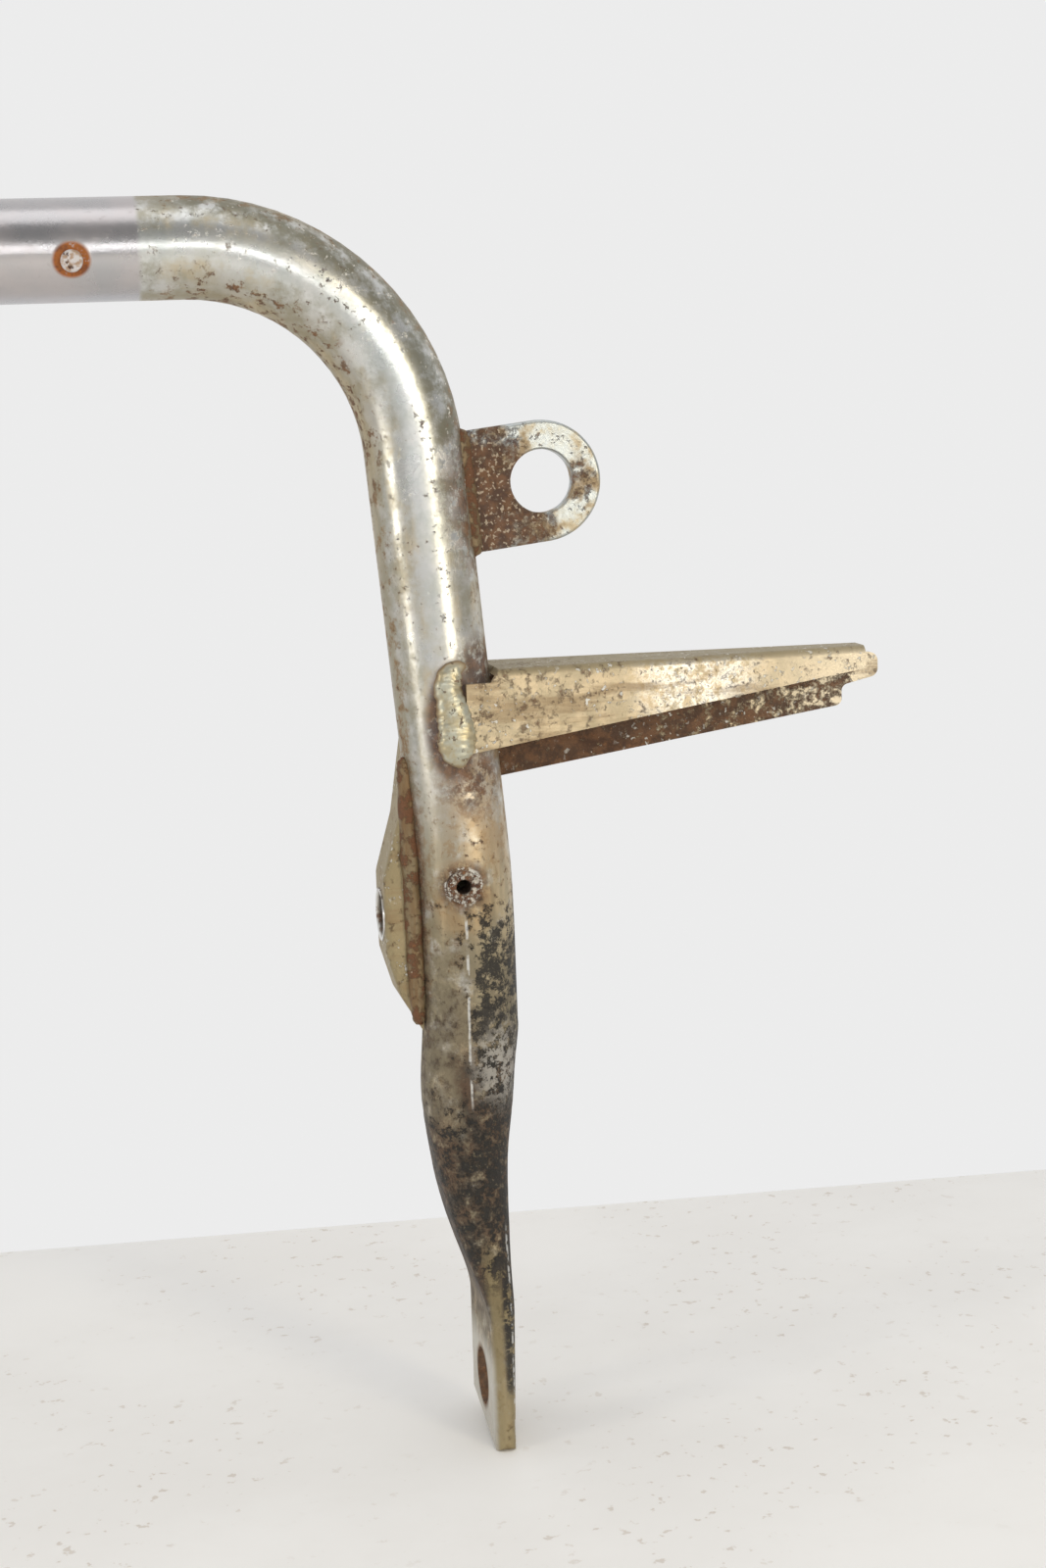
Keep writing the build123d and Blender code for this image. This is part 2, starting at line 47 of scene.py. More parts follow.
class Nodes:
    """Short way to write a procedural material."""

    def __init__(self, name):
        self.mat = bpy.data.materials.new(name)
        self.mat.use_nodes = True
        self.tree = self.mat.node_tree
        self.tree.nodes.clear()
        self.out = self.tree.nodes.new("ShaderNodeOutputMaterial")
        coords = self.tree.nodes.new("ShaderNodeTexCoord")
        self.place = coords.outputs["Object"]
        split = self.tree.nodes.new("ShaderNodeSeparateXYZ")
        self.tree.links.new(self.place, split.inputs[0])
        x, self.y, self.z = split.outputs
        self.side = self.math("ABSOLUTE", x)
        mirror = self.tree.nodes.new("ShaderNodeCombineXYZ")
        for socket, value in zip(mirror.inputs, (self.side, self.y, self.z)):
            self.tree.links.new(value, socket)
        self.mirror = mirror.outputs[0]

    def put(self, socket, value):
        if isinstance(value, bpy.types.NodeSocket):
            self.tree.links.new(value, socket)
        elif isinstance(value, tuple) and len(value) == 3 and socket.type == "RGBA":
            socket.default_value = (*value, 1.0)
        else:
            socket.default_value = value

    def math(self, operation, a, b=0.0):
        node = self.tree.nodes.new("ShaderNodeMath")
        node.operation = operation
        self.put(node.inputs[0], a)
        self.put(node.inputs[1], b)
        return node.outputs[0]

    def add(self, a, b):
        return self.math("ADD", a, b)

    def sub(self, a, b):
        return self.math("SUBTRACT", a, b)

    def fold(self, operation, first, *others):
        for value in others:
            first = self.math(operation, first, value)
        return first

    def mul(self, *values):
        return self.fold("MULTIPLY", *values)

    def most(self, *values):
        return self.fold("MAXIMUM", *values)

    def ramp(self, value, low, high):
        """0 below low, 1 above high, smooth between; low may be the larger."""
        node = self.tree.nodes.new("ShaderNodeMapRange")
        node.interpolation_type = "SMOOTHSTEP"
        self.put(node.inputs["Value"], value)
        node.inputs["From Min"].default_value = min(low, high)
        node.inputs["From Max"].default_value = max(low, high)
        if low > high:
            node.inputs["To Min"].default_value = 1.0
            node.inputs["To Max"].default_value = 0.0
        return node.outputs["Result"]

    def span(self, value, low, low_full, high_full, high):
        """1 from low_full to high_full, fading to 0 at low and at high."""
        return self.mul(self.ramp(value, low, low_full), self.ramp(value, high, high_full))

    def stretch(self, factors):
        node = self.tree.nodes.new("ShaderNodeVectorMath")
        node.operation = "MULTIPLY"
        self.put(node.inputs[0], self.place)
        node.inputs[1].default_value = factors
        return node.outputs[0]

    def noise(self, size, detail=4.0, rough=0.55, factors=(1, 1, 1)):
        node = self.tree.nodes.new("ShaderNodeTexNoise")
        self.put(node.inputs["Vector"], self.stretch(factors))
        node.inputs["Scale"].default_value = 1.0 / size
        node.inputs["Detail"].default_value = detail
        node.inputs["Roughness"].default_value = rough
        return node.outputs["Fac"]

    def speckle(self, size, low, high, detail=5.0, rough=0.7):
        """Separate specks of about one size; a higher low leaves fewer of them."""
        return self.ramp(self.noise(size, detail, rough), low, high)

    def near(self, centre, radius, soft, squash=(1, 1, 1)):
        """1 within radius of a point on either side, fading to 0 over soft."""
        away = self.tree.nodes.new("ShaderNodeVectorMath")
        away.operation = "SUBTRACT"
        self.put(away.inputs[0], self.mirror)
        away.inputs[1].default_value = centre
        scaled = self.tree.nodes.new("ShaderNodeVectorMath")
        scaled.operation = "MULTIPLY"
        self.put(scaled.inputs[0], away.outputs[0])
        scaled.inputs[1].default_value = squash
        length = self.tree.nodes.new("ShaderNodeVectorMath")
        length.operation = "LENGTH"
        self.put(length.inputs[0], scaled.outputs[0])
        return self.ramp(length.outputs["Value"], radius + soft, radius)

    def mix(self, mask, a, b):
        node = self.tree.nodes.new("ShaderNodeMix")
        node.data_type = "RGBA"
        node.clamp_factor = True
        self.put(node.inputs[0], mask)
        self.put(node.inputs[6], a)
        self.put(node.inputs[7], b)
        return node.outputs[2]

    def blend(self, mask, a, b):
        node = self.tree.nodes.new("ShaderNodeMix")
        node.clamp_factor = True
        self.put(node.inputs[0], mask)
        self.put(node.inputs[2], a)
        self.put(node.inputs[3], b)
        return node.outputs[0]

    def finish(self, color, metal, rough, height, strength, depth):
        bump = self.tree.nodes.new("ShaderNodeBump")
        bump.inputs["Strength"].default_value = strength
        bump.inputs["Distance"].default_value = depth
        self.put(bump.inputs["Height"], height)
        shader = self.tree.nodes.new("ShaderNodeBsdfPrincipled")
        self.put(shader.inputs["Base Color"], color)
        self.put(shader.inputs["Metallic"], metal)
        self.put(shader.inputs["Roughness"], rough)
        self.tree.links.new(bump.outputs[0], shader.inputs["Normal"])
        self.tree.links.new(shader.outputs[0], self.out.inputs["Surface"])
        return self.mat


# Colours shared by several surfaces
RUST_DARK = (0.078, 0.032, 0.018)
RUST_BROWN = (0.185, 0.083, 0.038)
RUST_ORANGE = (0.40, 0.175, 0.060)
RUST_PALE = (0.56, 0.46, 0.34)
FILM_BEIGE = (0.56, 0.435, 0.245)
FILM_OLIVE = (0.27, 0.215, 0.110)
STAIN_BROWN = (0.26, 0.165, 0.075)
FLAKE = (0.78, 0.76, 0.70)


class Finish:
    """Colour, metal, roughness and height of one surface, built up in layers."""

    def __init__(self, nodes, color, metal, rough, height):
        self.n = nodes
        self.color, self.metal, self.rough, self.height = color, metal, rough, height

    def lay(self, mask, color, metal, rough, height=0.0):
        """Lays another finish over this one where mask is 1."""
        self.color = self.n.mix(mask, self.color, color)
        self.metal = self.n.blend(mask, self.metal, metal)
        self.rough = self.n.blend(mask, self.rough, rough)
        if height:
            self.height = self.n.add(self.height, self.n.mul(mask, height))

    def rust(self, mask, pale=0.70):
        """Rough rust in dark, brown and orange grains; a lower pale gives more pale crusts."""
        n = self.n
        fine = n.noise(0.0010, 6.0, 0.75)
        coarse = n.noise(0.0045, 5.0, 0.65)
        tone = n.mix(n.ramp(coarse, 0.42, 0.60), RUST_DARK, RUST_BROWN)
        tone = n.mix(n.ramp(fine, 0.56, 0.72), tone, RUST_ORANGE)
        tone = n.mix(n.speckle(0.0014, pale, pale + 0.05, 3.0, 0.55), tone, RUST_PALE)
        self.lay(mask, tone, 0.05, 0.74)
        self.height = n.add(self.height, n.mul(mask, fine, 1.8))

    def make(self, strength, depth):
        return self.n.finish(self.color, self.metal, self.rough, self.height, strength, depth)


# Places on the tube in the row frame, in metres; each is repeated on the other leg
RIVET = (0.1741, -0.0159, 0.3727)
INSERT = (0.2863, -0.0159, 0.1720)
FOOT_HOLE = (0.293, 0.0, 0.0)
BEND_CENTRE = (0.2035, 0.0, 0.3067)
FLAT = (1, 0, 1)
FINISH_EDGE_X = 0.1945
BARE_SPOT = (0.2960, -0.010, 0.112)
# painted highlight lines: one down the leg, one along the foot's rounded edge
LEG_HIGHLIGHT_X = 0.2866
FOOT_EDGE_X = 0.2958

# Rust round what is welded or set in: place, radius, fade, squash, and where grain breaks it up
RUST_HALOS = {
    "eye root": ((0.303, -0.006, 0.298), 0.009, 0.016, (1, 0.7, 0.6), (0.44, 0.54)),
    "top of the arm": ((0.296, -0.014, 0.242), 0.004, 0.009, (1, 0.7, 0.8), (0.38, 0.52)),
    "arm bead": ((0.2850, -0.015, 0.2250), 0.0068, 0.0035, (1, 0.3, 0.44), (0.30, 0.48)),
    "foot of the arm": ((0.291, -0.013, 0.207), 0.004, 0.011, (1, 0.7, 0.9), (0.42, 0.58)),
    "insert": (INSERT, 0.0056, 0.0052, (1, 1, 1), (0.34, 0.50)),
    "saddle seam": ((0.2735, -0.003, 0.169), 0.0015, 0.0035, (1, 0.6, 0.06), (0.38, 0.54)),
}
RUST_RUNS = {
    "under the arm": ((0.293, -0.012, 0.200), 0.006, 0.018, (1.2, 0.6, 0.6)),
    "under the insert": ((0.2865, -0.0159, 0.168), 0.006, 0.008, (1, 1, 0.75)),
}

# Heights on the leg: where a layer starts, is full, is full up to, and is gone
GRIME_Z = (0.004, 0.022, 0.128, 0.178)
OUTER_TAR_Z = (-0.002, 0.010, 0.150, 0.180)
MIDDLE_TAR_Z = (0.022, 0.040, 0.085, 0.110)
TAR_SPOTS_Z = (0.030, 0.050, 0.160, 0.180)
EDGE_TAR_Z = (-0.004, 0.006, 0.040, 0.060)
SOOT_Z = (0.020, 0.036, 0.108, 0.126)
# painted highlight line down the leg
LEG_HIGHLIGHT_Z = (0.095, 0.105, 0.160, 0.168)

# Where a layer starts and where it is full, measured along one axis
LOW_FILM_Z = (0.232, 0.165)
# painted shade: darker film on the tube's sides, away from its front
SIDE_SHADE_Y = (-0.0125, -0.0050)
BEND_X, BEND_Z = (0.196, 0.215), (0.285, 0.312)
WIPED_FRONT_Y, WIPED_FRONT_Z = (-0.0148, -0.0156), (0.235, 0.260)
OUTER_TAR_X = (0.2815, 0.2925)
EDGE_TAR_X = (0.2915, 0.2940)
SOOT_X, SOOT_ALL_ROUND_Z = (0.2795, 0.2850), (0.104, 0.084)
FOOT_FRONT_Y, FOOT_FRONT_Z = (-0.0190, -0.0212), (0.060, 0.045)
WIPED_FOOT_X, WIPED_FOOT_Z = (0.2905, 0.2885), (0.020, 0.008)
# painted highlight along the foot's rounded edge
EDGE_HIGHLIGHT_Z = (0.060, 0.052)

# Colours of the tube only
STEEL, STEEL_BLUE = (0.66, 0.66, 0.64), (0.58, 0.62, 0.62)
BAR_GREY, BAR_ROSE = (0.47, 0.465, 0.475), (0.55, 0.515, 0.515)
BEND_GREEN = (0.15, 0.14, 0.09)
RUN_BROWN = (0.44, 0.28, 0.13)
RING_ORANGE, RING_BROWN = (0.34, 0.105, 0.016), (0.20, 0.060, 0.015)
GRIME, GRIME_DARK = (0.165, 0.135, 0.085), (0.075, 0.054, 0.034)
SOOT_BLACK, SOOT_BROWN = (0.030, 0.020, 0.013), (0.085, 0.046, 0.024)
TAR = (0.012, 0.011, 0.009)
BARE_GREY = (0.46, 0.44, 0.40)
WIPED_PALE = (0.62, 0.61, 0.57)
# colour of the painted highlight lines on the leg and foot
HIGHLIGHT_BRIGHT = (0.74, 0.74, 0.72)


def chrome_tube():
    n = Nodes("worn_chrome_tube")
    grain = SimpleNamespace(
        big=n.noise(0.030, 5.0, 0.6),
        mid=n.noise(0.008, 5.0, 0.65),
        small=n.noise(0.0042, 6.0, 0.72),
        fine=n.noise(0.0014, 5.0, 0.65),
        along=n.noise(0.012, 5.0, 0.65, (1, 1, 0.18)),
    )
    bend = n.mul(n.ramp(n.side, *BEND_X), n.ramp(n.z, *BEND_Z))
    clean = n.ramp(n.side, FINISH_EDGE_X + MM, FINISH_EDGE_X - MM)
    zone = SimpleNamespace(
        clean=clean,
        worn=n.sub(1.0, clean),
        outer_bend=n.mul(bend, n.sub(1.0, n.near(BEND_CENTRE, 0.0765, 0.0060, FLAT))),
        inner_bend=n.mul(bend, n.near(BEND_CENTRE, 0.0590, 0.0080, FLAT)),
        foot_hole=n.near(FOOT_HOLE, 0.0100, 0.0030),
    )
    plating = n.mix(n.ramp(grain.mid, 0.35, 0.65), STEEL, STEEL_BLUE)
    bar = n.mix(n.ramp(grain.big, 0.35, 0.65), BAR_GREY, BAR_ROSE)
    gloss = n.blend(n.ramp(grain.big, 0.35, 0.7), 0.25, 0.33)
    f = Finish(n, n.mix(clean, plating, bar), 1.0, gloss, n.mul(grain.fine, 0.12))
    tube_film(f, grain, zone)
    tube_rust(f, grain, zone)
    tube_flakes(f, grain, zone)
    leg_grime_and_soot(f, grain)
    leg_tar(f, grain)
    leg_wipe_and_highlights(f, grain, zone)
    return f.make(0.6, 0.0005)


def tube_film(f, grain, zone):
    """Yellow and olive film in patches and down the leg, with brown stains; the film and stain on the tube's
    sides are painted shade.
    """
    n = f.n
    low = n.ramp(n.z, *LOW_FILM_Z)
    # painted shade: olive film darkens the tube's sides, away from its front
    shaded_sides = n.ramp(n.add(n.y, n.mul(n.sub(grain.mid, 0.5), 0.012)), *SIDE_SHADE_Y)
    patches = n.ramp(n.add(grain.mid, n.mul(grain.big, 0.6)), 0.66, 1.00)
    film = n.most(
        n.mul(patches, zone.worn, 0.75),
        n.mul(shaded_sides, zone.worn, 0.92),
        n.mul(low, n.ramp(grain.mid, 0.20, 0.50)),
    )
    tone = n.mix(n.ramp(n.add(grain.along, n.mul(shaded_sides, 0.05)), 0.38, 0.56), FILM_BEIGE, FILM_OLIVE)
    wiped = n.mul(n.ramp(n.y, *WIPED_FRONT_Y), n.ramp(n.z, *WIPED_FRONT_Z), 0.6)
    f.lay(n.mul(film, n.sub(1.0, wiped), 0.85), tone, 0.62, 0.40, 0.1)
    f.lay(n.mul(zone.outer_bend, n.ramp(grain.mid, 0.36, 0.56), 0.70), BEND_GREEN, 0.45, 0.42, 0.2)
    f.lay(n.mul(zone.inner_bend, 0.45), FILM_OLIVE, 0.4, 0.46)
    # brown stains, plus painted shade as brown on the tube's sides
    stain = n.most(n.mul(shaded_sides, zone.worn), n.mul(low, 0.7), zone.inner_bend)
    f.lay(n.mul(stain, n.ramp(grain.small, 0.50, 0.62)), STAIN_BROWN, 0.25, 0.5, 0.2)


def tube_rust(f, grain, zone):
    """Rust freckles, the inside of the bend, halos and runs, and the ring round the bar rivet."""
    n = f.n
    runs = n.most(*(n.near(*spot) for spot in RUST_RUNS.values()))
    f.lay(n.mul(runs, n.ramp(grain.mid, 0.34, 0.60), 0.60), RUN_BROWN, 0.45, 0.42, 0.2)
    freckles = n.mul(n.speckle(0.0021, 0.58, 0.70), n.ramp(grain.big, 0.38, 0.60))
    freckles = n.mul(freckles, n.sub(1.0, n.mul(zone.clean, 0.9)))
    bend_rust = n.mul(zone.inner_bend, n.ramp(grain.small, 0.53, 0.60))
    halos = []
    for *spot, breaks in RUST_HALOS.values():
        halos.append(n.mul(n.near(*spot), n.ramp(grain.small, *breaks)))
    f.rust(n.mul(n.most(freckles, bend_rust, *halos, zone.foot_hole), 0.85))
    ring = n.mul(n.near(RIVET, 0.0044, 0.0012, (0.88, 1, 0.86)), n.ramp(grain.small, 0.30, 0.42))
    f.lay(ring, n.mix(n.ramp(grain.small, 0.45, 0.60), RING_ORANGE, RING_BROWN), 0.0, 0.7, 0.3)


def tube_flakes(f, grain, zone):
    """Pale flakes on the outside of the bend and round the insert."""
    n = f.n
    flaking = n.mul(zone.outer_bend, n.speckle(0.0030, 0.60, 0.63, 6.0, 0.75))
    pale_rim = n.mul(n.near(INSERT, 0.0058, 0.0012), n.speckle(0.0022, 0.50, 0.56))
    f.lay(n.most(flaking, pale_rim), FLAKE, 0.1, 0.55, 0.6)


def leg_grime_and_soot(f, grain):
    """Brown grime over the lower leg and sooty brown over its middle."""
    n = f.n
    grime = n.mul(n.span(n.z, *GRIME_Z), n.speckle(0.006, 0.28, 0.54, 6.0, 0.7), 0.85)
    f.lay(grime, n.mix(n.ramp(grain.small, 0.42, 0.6), GRIME, GRIME_DARK), 0.12, 0.6, 0.3)
    ragged_side = n.add(n.side, n.mul(n.sub(grain.mid, 0.5), 0.010))
    reach = n.most(n.ramp(n.z, *SOOT_ALL_ROUND_Z), n.ramp(ragged_side, *SOOT_X))
    soot = n.mul(n.span(n.z, *SOOT_Z), n.ramp(grain.small, 0.30, 0.46), reach, 0.92)
    f.lay(soot, n.mix(n.ramp(grain.mid, 0.4, 0.6), SOOT_BLACK, SOOT_BROWN), 0.05, 0.6, 0.3)


def leg_tar(f, grain):
    """Broken black tar, thicker on the outer half, round a bare grey spot."""
    n = f.n
    outer = n.mul(n.ramp(n.side, *OUTER_TAR_X), n.span(n.z, *OUTER_TAR_Z))
    cover = n.most(outer, n.mul(n.span(n.z, *MIDDLE_TAR_Z), 0.75))
    tar = n.ramp(n.add(n.noise(0.0042, 8.0, 0.80), n.mul(cover, 0.14)), 0.600, 0.650)
    tar = n.mul(tar, n.span(n.z, *TAR_SPOTS_Z))
    strip = n.mul(n.span(n.z, *EDGE_TAR_Z), n.ramp(n.side, *EDGE_TAR_X))
    tar = n.most(tar, n.mul(strip, n.ramp(grain.small, 0.40, 0.48)))
    bare = n.near(BARE_SPOT, 0.004, 0.0085, (1, 0.5, 0.6))
    bare = n.mul(bare, n.speckle(0.0030, 0.46, 0.52, 6.0, 0.75))
    f.lay(n.mul(bare, 0.8), BARE_GREY, 0.3, 0.5, 0.2)
    tar = n.mul(tar, n.sub(1.0, n.mul(bare, 0.9)))
    crust = n.add(0.5, n.mul(grain.fine, 0.9))
    f.lay(n.mul(tar, 0.92), n.mix(n.ramp(grain.fine, 0.56, 0.70), TAR, GRIME), 0.0, 0.62, crust)
    foot_front = n.mul(n.ramp(n.y, *FOOT_FRONT_Y), n.ramp(n.z, *FOOT_FRONT_Z))
    f.lay(n.mul(foot_front, n.sub(0.75, tar)), FILM_OLIVE, 0.3, 0.5)


def leg_wipe_and_highlights(f, grain, zone):
    """Inner face of the foot wiped pale, and painted highlights: bright lines down the leg and along the
    foot's rounded edge.
    """
    n = f.n
    wiped = n.mul(n.ramp(n.z, *WIPED_FOOT_Z), n.ramp(n.side, *WIPED_FOOT_X))
    f.lay(n.mul(wiped, n.sub(1.0, zone.foot_hole), 0.8), WIPED_PALE, 0.35, 0.45)
    # painted highlights: bright lines down the leg and along the foot's edge
    wander = n.mul(n.sub(grain.along, 0.5), 0.003)
    off_line = n.math("ABSOLUTE", n.sub(n.side, n.add(LEG_HIGHLIGHT_X, wander)))
    leg_highlight = n.mul(n.ramp(off_line, 0.0006, 0.0002), n.speckle(0.008, 0.44, 0.54, 4.0, 0.55))
    leg_highlight = n.mul(leg_highlight, n.span(n.z, *LEG_HIGHLIGHT_Z))
    off_edge = n.math("ABSOLUTE", n.sub(n.side, FOOT_EDGE_X))
    edge_highlight = n.mul(n.ramp(off_edge, 0.0005, 0.0002), n.ramp(n.z, *EDGE_HIGHLIGHT_Z))
    edge_highlight = n.mul(edge_highlight, n.ramp(grain.small, 0.48, 0.55))
    f.lay(n.mul(n.most(leg_highlight, edge_highlight), 0.75), HIGHLIGHT_BRIGHT, 1.0, 0.32)


EYE_ROOT = (0.300, 0.0, 0.294)
EYE_LOWER = (0.314, -0.003, 0.286)
EYE_FAR_RIM = (0.3315, -0.003, 0.300)
PLATE_BLUE, PLATE_GREY = (0.51, 0.545, 0.55), (0.48, 0.475, 0.42)


def plated_plate():
    """Dull plated eye, rusted from its weld outwards."""
    n = Nodes("plated_plate")
    mid = n.noise(0.007, 5.0, 0.6)
    small = n.noise(0.0030, 6.0, 0.72)
    fine = n.noise(0.0013, 5.0, 0.65)
    color = n.mix(n.ramp(mid, 0.38, 0.62), PLATE_BLUE, PLATE_GREY)
    gloss = n.blend(n.ramp(mid, 0.3, 0.7), 0.36, 0.46)
    f = Finish(n, color, 0.9, gloss, n.mul(fine, 0.2))
    f.lay(n.mul(n.ramp(mid, 0.50, 0.64), 0.55), FILM_BEIGE, 0.3, 0.5)
    root = n.near(EYE_ROOT, 0.006, 0.021, (1, 0.3, 0.62))
    lower = n.mul(n.near(EYE_LOWER, 0.003, 0.013), 0.75)
    far_rim = n.mul(n.near(EYE_FAR_RIM, 0.002, 0.0075, (1, 1, 0.6)), 0.55)
    spread = n.mul(n.most(root, lower, far_rim), 0.40)
    rusted = n.ramp(n.add(spread, n.mul(small, 1.1)), 0.72, 0.90)
    freckles = n.mul(n.speckle(0.0022, 0.61, 0.67, 4.0, 0.65), 0.6)
    f.lay(n.mul(n.ramp(n.add(spread, mid), 0.60, 0.80), 0.7), STAIN_BROWN, 0.3, 0.55)
    f.rust(n.mul(n.most(rusted, freckles), 0.88), 0.57)
    return f.make(0.7, 0.0006)


ARM_ROOT = (0.302, -0.016, 0.232)
# painted reflection: bright patch on the arm's front flange
ARM_REFLECTION_SPOT = (0.367, -0.012, 0.236)
ARM_X = (0.290, 0.295)
ARM_TIP_X = (0.375, 0.430)
# painted shade inside the arm's channel, under its web
ARM_SHADE_X = (0.4280, 0.4240)
ARM_SHADE_Y = (-0.008, -0.002)
ARM_SHADE_Z = (0.2405, 0.2390)
# painted shade along the arm's rounded top fold
ARM_TOP_SHADE_Z = (0.2390, 0.2412)
PAD_X = (0.280, 0.276)
SHEET_TAN, SHEET_BROWN = (0.63, 0.515, 0.345), (0.53, 0.445, 0.30)
# the first colour is a painted reflection on the arm's front flange
ARM_REFLECTION, ARM_TIP_TAN = (0.80, 0.77, 0.70), (0.82, 0.73, 0.57)


def weathered_sheet():
    """Tan weathered sheet of the arms and pads, rusted in patches; painted shade in rust colours inside the
    arms' channel and in olive along their top, and a painted reflection on the arm.
    """
    n = Nodes("weathered_sheet")
    big = n.noise(0.022, 5.0, 0.6)
    mid = n.noise(0.007, 5.0, 0.65)
    small = n.noise(0.0032, 6.0, 0.72)
    fine = n.noise(0.0010, 5.0, 0.7)
    along = n.noise(0.010, 5.0, 0.65, (0.15, 1, 1))
    on_arm = n.ramp(n.side, *ARM_X)
    color = n.mix(n.ramp(mid, 0.38, 0.62), SHEET_TAN, SHEET_BROWN)
    metal = n.blend(n.ramp(big, 0.3, 0.7), 0.72, 0.5)
    gloss = n.blend(n.ramp(mid, 0.3, 0.7), 0.40, 0.55)
    f = Finish(n, color, metal, gloss, n.mul(fine, 0.4))
    # painted reflection: a bright patch on the arm's front flange
    f.lay(n.mul(n.near(ARM_REFLECTION_SPOT, 0.009, 0.020), n.ramp(small, 0.40, 0.56)), ARM_REFLECTION, 1.0, 0.30)
    f.lay(n.mul(n.ramp(n.side, *ARM_TIP_X), 0.75), ARM_TIP_TAN, 0.6, 0.42)
    f.lay(n.mul(n.ramp(n.side, *PAD_X), 0.80), FILM_OLIVE, 0.35, 0.5)
    f.lay(n.mul(n.ramp(along, 0.50, 0.64), 0.6), STAIN_BROWN, 0.2, 0.55, 0.2)
    # painted shade: olive along the arm's rounded top fold
    f.lay(n.mul(n.ramp(n.z, *ARM_TOP_SHADE_Z), on_arm, 0.8), FILM_OLIVE, 0.3, 0.5)
    root = n.mul(n.near(ARM_ROOT, 0.004, 0.030, (0.7, 0.5, 1)), on_arm)
    patches = n.ramp(n.add(n.mul(root, 0.07), small), 0.58, 0.72)
    freckles = n.mul(n.speckle(0.0021, 0.58, 0.70), n.ramp(big, 0.36, 0.60))
    # painted shade: rust colours inside the channel under the web, darker towards the root
    channel_shade = n.mul(n.ramp(n.y, *ARM_SHADE_Y), on_arm, n.ramp(n.z, *ARM_SHADE_Z))
    channel_shade = n.mul(channel_shade, n.ramp(n.side, *ARM_SHADE_X))
    darker_to_root = n.mul(n.ramp(n.side, 0.43, 0.33), 0.16)
    channel_shade = n.mul(channel_shade, n.ramp(n.add(small, darker_to_root), 0.46, 0.58))
    f.rust(n.most(n.mul(patches, 0.65), n.mul(freckles, 0.7), n.mul(channel_shade, 0.92)))
    crusts = n.mul(n.speckle(0.0017, 0.63, 0.66, 3.0, 0.5), n.ramp(big, 0.42, 0.56))
    f.lay(crusts, FLAKE, 0.1, 0.6, 1.0)
    return f.make(0.8, 0.0006)


WHEEL_SEAT = (0.0, -0.0589, 0.196)
HANGER_Y = (-0.024, -0.020)
HANGER_FOOT_Z, HANGER_TOP_Z = (0.140, 0.131), (0.352, 0.372)
MOUNT_GREY, MOUNT_DULL = (0.44, 0.445, 0.43), (0.36, 0.35, 0.31)
SEAT_BRIGHT = (0.56, 0.55, 0.52)


def mount_plate():
    """Zinc-dull plate of the wheel mount: worn bright where the wheel sat, rusted at its rims."""
    n = Nodes("mount_plate")
    big = n.noise(0.030, 5.0, 0.6)
    mid = n.noise(0.008, 6.0, 0.65)
    small = n.noise(0.0034, 6.0, 0.72)
    fine = n.noise(0.0011, 5.0, 0.7)
    down = n.noise(0.010, 5.0, 0.65, (1, 1, 0.15))
    color = n.mix(n.ramp(big, 0.38, 0.62), MOUNT_GREY, MOUNT_DULL)
    gloss = n.blend(n.ramp(mid, 0.3, 0.7), 0.40, 0.54)
    f = Finish(n, color, 0.85, gloss, n.mul(fine, 0.35))
    f.lay(n.mul(n.ramp(down, 0.48, 0.62), 0.55), FILM_OLIVE, 0.35, 0.5, 0.1)
    seat = n.near(WHEEL_SEAT, 0.066, 0.004, (1, 3, 1))
    seat = n.mul(seat, n.sub(1.0, n.near(WHEEL_SEAT, 0.040, 0.006, (1, 0.5, 1))))
    f.lay(n.mul(seat, n.ramp(small, 0.40, 0.60)), SEAT_BRIGHT, 1.0, 0.32)
    rim = n.sub(1.0, n.near(WHEEL_SEAT, 0.0705, 0.003, FLAT))
    rim = n.mul(rim, n.near(WHEEL_SEAT, 0.080, 0.001, (1, 0.5, 1)))
    foot = n.mul(n.ramp(n.z, *HANGER_FOOT_Z), n.ramp(n.y, *HANGER_Y))
    top = n.mul(n.ramp(n.z, *HANGER_TOP_Z), n.ramp(n.y, *HANGER_Y))
    worn = n.add(n.mul(n.most(rim, foot, top), 0.14), small)
    f.rust(n.mul(n.ramp(worn, 0.60, 0.70), 0.85))
    f.lay(n.speckle(0.0017, 0.665, 0.69, 3.0, 0.5), FLAKE, 0.1, 0.6, 0.8)
    return f.make(0.7, 0.0005)


BEAD_PALE, BEAD_TAN = (0.50, 0.50, 0.41), (0.47, 0.41, 0.27)
BEAD_FOOT_Y = (-0.0182, -0.0168)


def weld_metal():
    """Smooth plated weld, brown where it meets the tube."""
    n = Nodes("plated_weld")
    mid = n.noise(0.004, 4.0, 0.6)
    fine = n.noise(0.0012, 5.0, 0.6)
    f = Finish(n, n.mix(n.ramp(mid, 0.38, 0.62), BEAD_PALE, BEAD_TAN), 0.7, 0.36, n.mul(fine, 0.25))
    f.lay(n.mul(n.ramp(n.y, *BEAD_FOOT_Y), 0.85), STAIN_BROWN, 0.2, 0.55)
    f.rust(n.mul(n.speckle(0.0024, 0.58, 0.66, 4.0, 0.65), 0.8))
    return f.make(0.6, 0.0005)


SEAM_OLIVE, SEAM_BROWN = (0.23, 0.18, 0.105), (0.20, 0.125, 0.058)


def rusty_metal():
    n = Nodes("rusty_weld")
    mid = n.noise(0.0045, 5.0, 0.65)
    fine = n.noise(0.0012, 5.0, 0.7)
    streak = n.noise(0.006, 5.0, 0.65, (1, 1, 0.2))
    f = Finish(n, n.mix(n.ramp(streak, 0.42, 0.60), SEAM_OLIVE, SEAM_BROWN), 0.35, 0.50, n.mul(fine, 0.4))
    f.rust(n.ramp(mid, 0.47, 0.58))
    return f.make(0.8, 0.0006)


